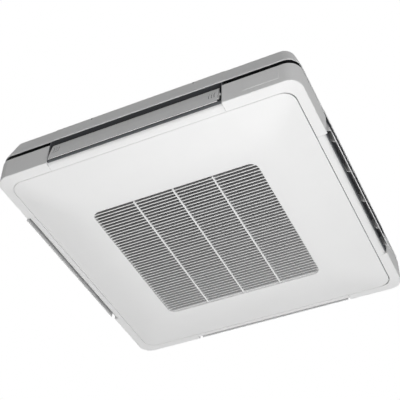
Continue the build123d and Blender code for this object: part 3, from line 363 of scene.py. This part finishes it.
copper, tree, shader, place = new_finish("drawn_copper", 1.0)
stains = add_node(
    tree, "ShaderNodeTexNoise", {"Scale": 1000 / COPPER_STAIN_MM, "Detail": 5.0}, {"Vector": place}
)
vary(tree, shader, stains.outputs["Fac"], COPPER_REDS, COPPER_ROUGH)
dress(copper, "coil_bends", "gas_pipe", "liquid_pipe")

brass, tree, shader, place = new_finish("machined_brass", 1.0)
stains = add_node(
    tree, "ShaderNodeTexNoise", {"Scale": 1000 / BRASS_STAIN_MM, "Detail": 3.0}, {"Vector": place}
)
vary(tree, shader, stains.outputs["Fac"], BRASS_YELLOWS, BRASS_ROUGH)
dress(brass, "flare_nuts")

# ---------------------------------------------------------------- drain
# Drain pan and float are expanded polystyrene, whose beads show as a fine cell pattern. The
# pump, its hose and the swing motors are black moulded plastic.
SIDES = ("front", "right", "rear", "left")
BEAD_MM = 4.0
BEAD_SEAM = 0.12  # the part of a bead, from its edge, that is sunk
BEAD_WHITES = ("#d6d5d0", "#e6e5e1")
BEAD_ROUGH = (0.88, 0.75)
BEAD_RELIEF_MM = 0.15
PLASTIC_BLACKS = ("#2a2b2d", "#232426")
PLASTIC_ROUGH = (0.42, 0.56)
PLASTIC_PATCH_MM = 33.3

polystyrene, tree, shader, place = new_finish("expanded_polystyrene")
beads = add_node(
    tree,
    "ShaderNodeTexVoronoi",
    {"feature": "DISTANCE_TO_EDGE", "Scale": 1000 / BEAD_MM},
    {"Vector": place},
)
bead = add_node(tree, "ShaderNodeMapRange", {"From Max": BEAD_SEAM}, {"Value": beads.outputs[0]})
vary(tree, shader, bead.outputs[0], BEAD_WHITES, BEAD_ROUGH)
emboss(tree, shader, bead.outputs[0], BEAD_RELIEF_MM)
dress(polystyrene, "drain_pan", "switch_float")

black_plastic, tree, shader, place = new_finish("moulded_plastic_black")
patches = add_node(
    tree, "ShaderNodeTexNoise", {"Scale": 1000 / PLASTIC_PATCH_MM, "Detail": 3.0}, {"Vector": place}
)
vary(tree, shader, patches.outputs["Fac"], PLASTIC_BLACKS, PLASTIC_ROUGH)
dress(black_plastic, "drain_pump", "drain_hose")
dress(black_plastic, *(f"swing_motor_{side}" for side in SIDES))

# ---------------------------------------------------------------- outlet ducts
# Dark grey ABS, matt, so that the gap above each flap reads as a dark band.
DUCT_GREYS = ("#4b4d50", "#444649")
DUCT_ROUGH = 0.6
ABS_IOR = 1.53
ABS_GLOSS_SPREAD = 0.04
MOTTLE_MM = 120.0
MOULD_GRAIN_MM = 1.4  # the real grain is near 0.2 mm; coarser here, so that it shows
MOULD_GRAIN_DEPTH_MM = 0.05
MOULD_GRAIN_STRENGTH = 0.3


def abs_finish(name, colours, rough):
    """Injection-moulded ABS: even colour, slightly mottled gloss, fine spark-eroded grain."""
    material, tree, shader, place = new_finish(name)
    shader.inputs["IOR"].default_value = ABS_IOR
    mottle = add_node(
        tree, "ShaderNodeTexNoise", {"Scale": 1000 / MOTTLE_MM, "Detail": 3.0}, {"Vector": place}
    )
    roughs = (rough - ABS_GLOSS_SPREAD, rough + ABS_GLOSS_SPREAD)
    vary(tree, shader, mottle.outputs["Fac"], colours, roughs)
    grain = add_node(
        tree,
        "ShaderNodeTexNoise",
        {"Scale": 1000 / MOULD_GRAIN_MM, "Detail": 1.0},
        {"Vector": place},
    )
    emboss(tree, shader, grain.outputs["Fac"], MOULD_GRAIN_DEPTH_MM, MOULD_GRAIN_STRENGTH)
    return material


abs_grey = abs_finish("abs_dark_grey", DUCT_GREYS, DUCT_ROUGH)
dress(abs_grey, *(f"outlet_frame_{side}" for side in SIDES))

# ---------------------------------------------------------------- casing, covers, frame, panel
# All outer mouldings are white ABS from one colour batch, with a satin skin.
ABS_WHITES = ("#eeeeee", "#eaeaea")
SATIN_ROUGH = 0.42

abs_white = abs_finish("abs_white_satin", ABS_WHITES, SATIN_ROUGH)
dress(abs_white, *(f"casing_side_{side}" for side in SIDES))
dress(abs_white, *(f"casing_corner_{corner}" for corner in CORNERS))
dress(abs_white, *(f"corner_cover_{corner}" for corner in CORNERS))
dress(abs_white, "panel_frame", "intake_panel")

# ---------------------------------------------------------------- flaps
# Bowed blades of the same white ABS. Each has three short grooves near either end of its face.
# Their floors lie in one plane and are coloured dark grey: painted shade in the grooves.
FLAP_REST = (12.0, 18.0, 2.0, 12.0)  # degrees open, side by side
PIVOT_OUT = 0.468
PIVOT_Z = -0.1195
GROOVE_OUT = 0.0064  # from the pivot to the plane of the groove floors
GROOVE_REACH = 0.0002  # how near that plane a point has to be to count as floor
# dark grey painted on the groove floors as shade
GROOVE_SHADE = "#2e2e2e"


def under_skin(material):
    """What another layer on a finished material needs: its tree, shader, place and colour."""
    tree = material.node_tree
    shader = next(node for node in tree.nodes if node.type == "BSDF_PRINCIPLED")
    place = next(node for node in tree.nodes if node.type == "TEX_COORD").outputs["Object"]
    return tree, shader, place, shader.inputs["Base Color"].links[0].from_socket


for quarter, side in enumerate(SIDES):
    flap_white = abs_finish(f"abs_white_flap_{side}", ABS_WHITES, SATIN_ROUGH)
    tree, shader, place, skin = under_skin(flap_white)
    round_unit = Matrix.Rotation(quarter * pi / 2, 3, "Z")
    lean = radians(FLAP_REST[quarter])
    outward = round_unit @ Vector((0, -cos(lean), sin(lean)))
    pivot = round_unit @ Vector((0, -PIVOT_OUT, PIVOT_Z))
    reach = add_node(
        tree, "ShaderNodeVectorMath", {"operation": "DOT_PRODUCT", 1: outward}, {0: place}
    )
    off_plane = add_node(
        tree,
        "ShaderNodeMath",
        {"operation": "SUBTRACT", 1: outward.dot(pivot) + GROOVE_OUT},
        {0: reach.outputs["Value"]},
    )
    off_plane = add_node(
        tree, "ShaderNodeMath", {"operation": "ABSOLUTE"}, {0: off_plane.outputs[0]}
    )
    on_floor = add_node(
        tree,
        "ShaderNodeMath",
        {"operation": "LESS_THAN", 1: GROOVE_REACH},
        {0: off_plane.outputs[0]},
    )
    # painted shade: the groove floors turn dark grey
    groove_shaded = add_node(
        tree,
        "ShaderNodeMix",
        {"data_type": "RGBA", MIX_TO: linear(GROOVE_SHADE)},
        {0: on_floor.outputs[0], MIX_FROM: skin},
    )
    tree.links.new(groove_shaded.outputs[MIX_RESULT], shader.inputs["Base Color"])
    dress(flap_white, f"flap_{side}")

# ---------------------------------------------------------------- casing screws
# Two self-tapping screws on each side hold the sloping mouldings. Their pan heads are steel,
# cold-headed with a cross recess and blackened, and each sits in a round counterbore.
CASING_SCREW_R = 0.0029
CASING_SCREW_UP = 0.0005  # how far a head stands out of the wall
CASING_SCREWS_X = (-0.175, 0.157)
CASING_SCREW_OUT = 0.4551
CASING_SCREW_Z = -0.0095
WALL_SLOPE = 0.3095  # outward for each unit down
BLACK_ZINC_GREYS = ("#3a3b3d", "#77797b")
BLACK_ZINC_ROUGH = (0.45, 0.3)
BLACK_ZINC_METALLIC = 0.8
RUB_MM = 2.0
RUBBED_BARE = (0.55, 0.75)  # values of the pattern between which the black gives way

# Shares of a screw head's radius
HEAD_CROWN = 0.6
HEAD_EDGE_DROP = 0.18
HEAD_SKIRT = 0.35
CROSS_ARM = 0.2
CROSS_WALL = 0.05
CROSS_DEPTH = 0.5

black_zinc, tree, shader, place = new_finish("black_zinc_steel", BLACK_ZINC_METALLIC)
rubbed = add_node(
    tree, "ShaderNodeTexNoise", {"Scale": 1000 / RUB_MM, "Detail": 2.0}, {"Vector": place}
)
bare = add_node(
    tree,
    "ShaderNodeMapRange",
    {"From Min": RUBBED_BARE[0], "From Max": RUBBED_BARE[1]},
    {"Value": rubbed.outputs[0]},
)
vary(tree, shader, bare.outputs[0], BLACK_ZINC_GREYS, BLACK_ZINC_ROUGH)


def moved_verts(geometry):
    """The points in what a bmesh operator gives back."""
    return [part for part in geometry if isinstance(part, bmesh.types.BMVert)]


def pan_head(radius):
    """Screw head whose crown lies in z = 0: a cross sunk in a square, and a ring round it."""
    shape = bmesh.new()
    bmesh.ops.create_grid(shape, x_segments=6, y_segments=6, size=radius * HEAD_CROWN)
    crown_edges = [edge for edge in shape.edges if edge.is_boundary]
    cross = []
    for face in shape.faces:
        centre = face.calc_center_median()
        if min(abs(centre.x), abs(centre.y)) < radius * CROSS_ARM:
            cross.append(face)
    bmesh.ops.inset_region(
        shape, faces=cross, thickness=radius * CROSS_WALL, depth=-radius * CROSS_DEPTH
    )
    rim = bmesh.ops.create_circle(shape, segments=24, radius=radius)["verts"]
    bmesh.ops.translate(shape, verts=rim, vec=(0, 0, -radius * HEAD_EDGE_DROP))
    rim_edges = [edge for edge in shape.edges if edge.verts[0] in rim and edge.verts[1] in rim]
    bmesh.ops.bridge_loops(shape, edges=crown_edges + rim_edges)
    skirt = bmesh.ops.extrude_edge_only(shape, edges=rim_edges)["geom"]
    bmesh.ops.translate(shape, verts=moved_verts(skirt), vec=(0, 0, -radius * HEAD_SKIRT))
    bmesh.ops.holes_fill(shape, edges=[edge for edge in shape.edges if edge.is_boundary])
    bmesh.ops.recalc_face_normals(shape, faces=shape.faces)
    return shape


def repeated(shape, places):
    """One shape at each of several places, in one mesh."""
    single = bpy.data.meshes.new("single")
    whole = bmesh.new()
    for where in places:
        turned = shape.copy()
        bmesh.ops.transform(turned, matrix=where, verts=turned.verts)
        turned.to_mesh(single)
        turned.free()
        whole.from_mesh(single)
    shape.free()
    bpy.data.meshes.remove(single)
    return whole


def add_piece(name, shape, body, finish, slot, *replaced):
    """A finished mesh that moves with a CAD body, and may stand for CAD nodes."""
    mesh = bpy.data.meshes.new(name)
    shape.to_mesh(mesh)
    shape.free()
    mesh.materials.append(finish)
    piece = bpy.data.objects.new(name, mesh)
    bpy.context.scene.collection.objects.link(piece)
    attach(piece, body)
    if replaced:
        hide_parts(*replaced)


wall_out = Vector((0, -1, WALL_SLOPE)).normalized()
tilt = wall_out.to_track_quat("Z", "Y").to_matrix().to_4x4()
places = []
for quarter in range(4):
    for x in CASING_SCREWS_X:
        # left and right are mirror images of the front
        along = -x if quarter % 2 else x
        at = Vector((along, -CASING_SCREW_OUT, CASING_SCREW_Z)) + wall_out * CASING_SCREW_UP
        places.append(Matrix.Rotation(quarter * pi / 2, 4, "Z") @ Matrix.Translation(at) @ tilt)
heads = repeated(pan_head(CASING_SCREW_R), places)
add_piece("casing_screw_heads", heads, "chassis", black_zinc, "shaft_steel", "casing_screws")

# ---------------------------------------------------------------- inside screws
# Pan-head screws that hold the control box's lid and the bell mouth's plate from below. They
# are steel with a bright zinc coat, and show once the intake panel hangs open.
INSIDE_SCREW_R = 0.0038
INSIDE_SCREW_UP = 0.45  # how far a head stands out of the sheet, as a share of its radius
LID_INSET = 0.009
PLATE_SCREWS = (
    (0.272, 0.272),
    (-0.272, 0.272),
    (0.285, 0.0),
    (-0.285, 0.0),
    (0.0, 0.285),
    (0.272, -0.272),
    (-0.272, -0.272),
)
BRIGHT_ZINC_GREYS = ("#a3a6a9", "#c3c6c8")
BRIGHT_ZINC_ROUGH = (0.38, 0.24)
CLOUD_MM = 3.3

bright_zinc, tree, shader, place = new_finish("bright_zinc_steel", 1.0)
clouds = add_node(
    tree, "ShaderNodeTexNoise", {"Scale": 1000 / CLOUD_MM, "Detail": 3.0}, {"Vector": place}
)
vary(tree, shader, clouds.outputs[0], BRIGHT_ZINC_GREYS, BRIGHT_ZINC_ROUGH)

lid_low, lid_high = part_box("control_box_lid")
plate_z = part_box("bell_mouth")[0][2]
head_drop = INSIDE_SCREW_R * INSIDE_SCREW_UP
over = Matrix.Rotation(pi, 4, "X")  # heads point down
places = []
for x in (lid_low[0] + LID_INSET, (lid_low[0] + lid_high[0]) / 2, lid_high[0] - LID_INSET):
    for y in (lid_low[1] + LID_INSET, lid_high[1] - LID_INSET):
        places.append(Matrix.Translation((x, y, lid_low[2] - head_drop)) @ over)
for x, y in PLATE_SCREWS:
    places.append(Matrix.Translation((x, y, plate_z - head_drop)) @ over)
heads = repeated(pan_head(INSIDE_SCREW_R), places)
add_piece("inside_screw_heads", heads, "chassis", bright_zinc, "shaft_steel")

# ---------------------------------------------------------------- panel ribs
# Stiffening ribs moulded on the back of the intake panel: one ring and short ribs across it on
# each side. They are the panel's own white ABS, and show once it hangs open.
FACE_Z = -0.198
SEAM_Z = -0.1692
FACE_HALF = 0.270
SEAM_HALF = 0.443
SEAM_R = 0.040
RING_R_MORE = 0.012  # how much rounder the panel's corners are at the grille than at the seam
SHELL = 0.0025
RIB_WALL = 0.0018
RIB_UP = 0.007
RIB_ROOT = 0.0004  # how deep the ribs start inside the shell
RIBS_ALONG = (-0.21, -0.07, 0.07, 0.21)
RIB_RUN = (0.06, 0.2, 0.34, 0.48, 0.62, 0.76)
RING_AT = 0.45
RING_POINTS = 32


def shell_at(t):
    """Distance out and height of the shell's inside, from 0 at the grille to 1 at the seam."""
    out = FACE_HALF + (SEAM_HALF - FACE_HALF) * t - SHELL
    return out, FACE_Z + (SEAM_Z - FACE_Z) * t * t * (1.6 - 0.6 * t) + SHELL


ribs = bmesh.new()
out, z = shell_at(RING_AT)
ring_r = SEAM_R + RING_R_MORE * (1 - RING_AT) - SHELL
ring = bmesh.ops.create_circle(ribs, segments=RING_POINTS, radius=ring_r)["verts"]
bmesh.ops.rotate(ribs, verts=ring, matrix=Matrix.Rotation(pi / RING_POINTS, 3, "Z"))
for vert in ring:
    corner = Vector((copysign(out - ring_r, vert.co.x), copysign(out - ring_r, vert.co.y), z))
    bmesh.ops.translate(ribs, verts=[vert], vec=corner)
for quarter in range(4):
    round_unit = Matrix.Rotation(quarter * pi / 2, 3, "Z")
    for along in RIBS_ALONG:
        previous = None
        for t in RIB_RUN:
            out, z = shell_at(t)
            vert = ribs.verts.new(round_unit @ Vector((along, -out, z)))
            if previous:
                ribs.edges.new((previous, vert))
            previous = vert
bmesh.ops.translate(ribs, verts=ribs.verts, vec=(0, 0, -RIB_ROOT))
raised = bmesh.ops.extrude_edge_only(ribs, edges=ribs.edges)["geom"]
bmesh.ops.translate(ribs, verts=moved_verts(raised), vec=(0, 0, RIB_UP))
bmesh.ops.recalc_face_normals(ribs, faces=ribs.faces)
bmesh.ops.solidify(ribs, geom=ribs.faces[:] + ribs.edges[:] + ribs.verts[:], thickness=RIB_WALL)
add_piece("panel_ribs", ribs, "intake", abs_white, "cover_white")

# ---------------------------------------------------------------- seam shade
# A strip of black closed-cell foam, glued under the frame along the hinged right edge, fills the
# wide seam there: painted shade, so that the seam looks black from below.
SEAM_SHADE_IN = 0.4385
SEAM_SHADE_OUT = 0.4472
SEAM_SHADE_TOP = -0.1601
SEAM_SHADE_THICK = 0.0015
SEAM_SHADE_RUNS = ((-0.425, -0.233), (-0.207, 0.207), (0.233, 0.425))  # clear of the hinge lugs


def bars(corners, soft_edge):
    """Straight bars with softened edges, each between two opposite corners."""
    whole = bmesh.new()
    for (x0, y0, z0), (x1, y1, z1) in corners:
        base = [whole.verts.new((x, y0, z)) for x, z in ((x0, z0), (x1, z0), (x1, z1), (x0, z1))]
        grown = bmesh.ops.extrude_face_region(whole, geom=[whole.faces.new(base)])["geom"]
        bmesh.ops.translate(whole, verts=moved_verts(grown), vec=(0, y1 - y0, 0))
    bmesh.ops.recalc_face_normals(whole, faces=whole.faces)
    bmesh.ops.bevel(
        whole,
        geom=whole.edges[:],
        offset=soft_edge,
        affect="EDGES",
        segments=2,
        profile=0.5,
        material=-1,
    )
    return whole


corners = []
for start, end in SEAM_SHADE_RUNS:
    corners.append(((SEAM_SHADE_IN, start, SEAM_SHADE_TOP - SEAM_SHADE_THICK), (SEAM_SHADE_OUT, end, SEAM_SHADE_TOP)))
# a black strip where the wide seam has only shade: painted shade
seam_shade = bars(corners, SEAM_SHADE_THICK / 4)
add_piece("seam_shade_strip", seam_shade, "chassis", foam_rubber, "foam_dark")

# ---------------------------------------------------------------- lip strips
# A grey strip on the lower lip of each outlet, which the closed flap's edge comes near. Its grey is
# painted shade: from below it shows as the dark line of shade under the flap.
# the strip's grey is painted shade under the flaps
LIP_SHADE_GREYS = ("#7e8083", "#787a7d")
LIP_ROUGH = 0.6
LIP_FAR = 0.4693
LIP_NEAR = 0.4683
LIP_LOW = -0.1596
LIP_HIGH = -0.1497
LIP_LONG = 0.2945  # ends of the strip, towards a short corner and towards a long one
LIP_SHORT = 0.2535
LIP_SOFT_EDGE = 0.0002

# painted shade: a grey strip where the flap shades the lip
lip_shade = abs_finish("lip_shade_grey", LIP_SHADE_GREYS, LIP_ROUGH)
corners = [
    ((-LIP_LONG, -LIP_FAR, LIP_LOW), (LIP_SHORT, -LIP_NEAR, LIP_HIGH)),
    ((LIP_NEAR, -LIP_SHORT, LIP_LOW), (LIP_FAR, LIP_LONG, LIP_HIGH)),
    ((-LIP_SHORT, LIP_NEAR, LIP_LOW), (LIP_LONG, LIP_FAR, LIP_HIGH)),
    ((-LIP_FAR, -LIP_LONG, LIP_LOW), (-LIP_NEAR, LIP_SHORT, LIP_HIGH)),
]
add_piece("lip_strips", bars(corners, LIP_SOFT_EDGE), "chassis", lip_shade, "duct_grey")

# ---------------------------------------------------------------- grille
# The grille is the same ABS, a touch darker. Its slats carry painted shade in grey: towards
# the front on the slats' sides, and towards the rear on their lower edges. Beside the dividers
# it is left off.
GRILLE_WHITES = ("#eaeaea", "#e6e6e6")
GRILLE_ROUGH = 0.45
GRILLE_HALF = 0.2645
FOOT_Z = -0.1978  # lowest edge of the slats
FOOT_RISE = 0.0008  # height over which the foot's painted shade gives way to the side's
# greys painted on the slats as shade: on their sides and on their lower edges
SIDE_SHADE_GREY = "#a0a0a0"
FOOT_SHADE_GREY = "#d0d0d0"
DIVIDERS_X = (-0.124, 0.003, 0.129)
UNSHADED_HALF = 0.003  # no painted shade on either side of a divider's middle

abs_grille = abs_finish("abs_grille_white", GRILLE_WHITES, GRILLE_ROUGH)
tree, shader, place, skin = under_skin(abs_grille)
axes = add_node(tree, "ShaderNodeSeparateXYZ", links={0: place})
low = add_node(
    tree,
    "ShaderNodeMapRange",
    {"From Min": FOOT_Z, "From Max": FOOT_Z + FOOT_RISE, "To Min": 1.0, "To Max": 0.0},
    {"Value": axes.outputs["Z"]},
)
rear = add_node(
    tree,
    "ShaderNodeMapRange",
    {"From Min": -GRILLE_HALF, "From Max": GRILLE_HALF},
    {"Value": axes.outputs["Y"]},
)
rear = add_node(tree, "ShaderNodeMath", {"operation": "POWER", 1: 2.0}, {0: rear.outputs[0]})
# painted shade on the slats' sides, darkest at the front
side_shade = add_node(
    tree,
    "ShaderNodeMix",
    {"data_type": "RGBA", MIX_FROM: linear(SIDE_SHADE_GREY)},
    {0: rear.outputs[0], MIX_TO: skin},
)
# painted shade on the slats' lower edges, greyest at the rear
foot_shade = add_node(
    tree,
    "ShaderNodeMix",
    {"data_type": "RGBA", MIX_TO: linear(FOOT_SHADE_GREY)},
    {0: rear.outputs[0], MIX_FROM: skin},
)
painted_slat_shade = add_node(
    tree,
    "ShaderNodeMix",
    {"data_type": "RGBA"},
    {
        0: low.outputs[0],
        MIX_FROM: side_shade.outputs[MIX_RESULT],
        MIX_TO: foot_shade.outputs[MIX_RESULT],
    },
)
# the painted shade is left off beside each divider
for x in DIVIDERS_X:
    beside = add_node(
        tree, "ShaderNodeMath", {"operation": "SUBTRACT", 1: x}, {0: axes.outputs["X"]}
    )
    beside = add_node(tree, "ShaderNodeMath", {"operation": "ABSOLUTE"}, {0: beside.outputs[0]})
    beside = add_node(
        tree, "ShaderNodeMath", {"operation": "GREATER_THAN", 1: UNSHADED_HALF}, {0: beside.outputs[0]}
    )
    painted_slat_shade = add_node(
        tree,
        "ShaderNodeMix",
        {"data_type": "RGBA"},
        {0: beside.outputs[0], MIX_FROM: skin, MIX_TO: painted_slat_shade.outputs[MIX_RESULT]},
    )
tree.links.new(painted_slat_shade.outputs[MIX_RESULT], shader.inputs["Base Color"])
dress(abs_grille, "intake_grille")

# ---------------------------------------------------------------- divider caps
# Each divider of the grille carries a cap strip of the panel's white ABS, without the grille's
# painted shade, wider than the rib under it and clipped on from below.
CAP_HALF = 0.0025
CAP_LOW = -0.1977
CAP_HIGH = -0.1965
CAP_END = 0.2606
CAP_SOFT_EDGE = 0.0003

corners = []
for x in DIVIDERS_X:
    corners.append(((x - CAP_HALF, -CAP_END, CAP_LOW), (x + CAP_HALF, CAP_END, CAP_HIGH)))
add_piece("divider_caps", bars(corners, CAP_SOFT_EDGE), "intake", abs_white, "cover_white")

# ---------------------------------------------------------------- filter
# A grey moulded frame lies on the grille's collar and holds a net of dark polypropylene
# threads, woven square. From below the net closes the gaps between the slats.
FILTER_GREYS = ("#6d7073", "#65686b")
FILTER_ROUGH = 0.55
THREAD_MM = 2.0  # the real net has about 0.8 mm between threads
THREAD_EDGE = (0.1, 0.2)  # shares of the spacing between which a thread ends
# the first black is the threads', the second, in the holes between them, is painted shade
THREAD_AND_HOLE_SHADE_BLACKS = ("#2c2d30", "#141517")
THREAD_ROUGH = (0.6, 0.85)
THREAD_RELIEF_MM = 0.4

abs_filter = abs_finish("polypropylene_filter_grey", FILTER_GREYS, FILTER_ROUGH)
dress(abs_filter, "air_filter")

net, tree, shader, place = new_finish("filter_net_threads")
axes = add_node(tree, "ShaderNodeSeparateXYZ", links={0: place})
threads = []
for axis in ("X", "Y"):
    spacings = add_node(
        tree,
        "ShaderNodeMath",
        {"operation": "MULTIPLY", 1: 1000 / THREAD_MM},
        {0: axes.outputs[axis]},
    )
    thread = add_node(
        tree, "ShaderNodeMath", {"operation": "PINGPONG", 1: 0.5}, {0: spacings.outputs[0]}
    )
    threads.append(thread.outputs[0])
woven = add_node(
    tree, "ShaderNodeMath", {"operation": "MINIMUM"}, {0: threads[0], 1: threads[1]}
)
woven = add_node(
    tree,
    "ShaderNodeMapRange",
    {"From Min": THREAD_EDGE[0], "From Max": THREAD_EDGE[1]},
    {"Value": woven.outputs[0]},
)
# threads dark grey, the holes between them darker: painted shade
vary(tree, shader, woven.outputs[0], THREAD_AND_HOLE_SHADE_BLACKS, THREAD_ROUGH)
emboss(tree, shader, woven.outputs[0], THREAD_RELIEF_MM)
dress(net, "filter_net")
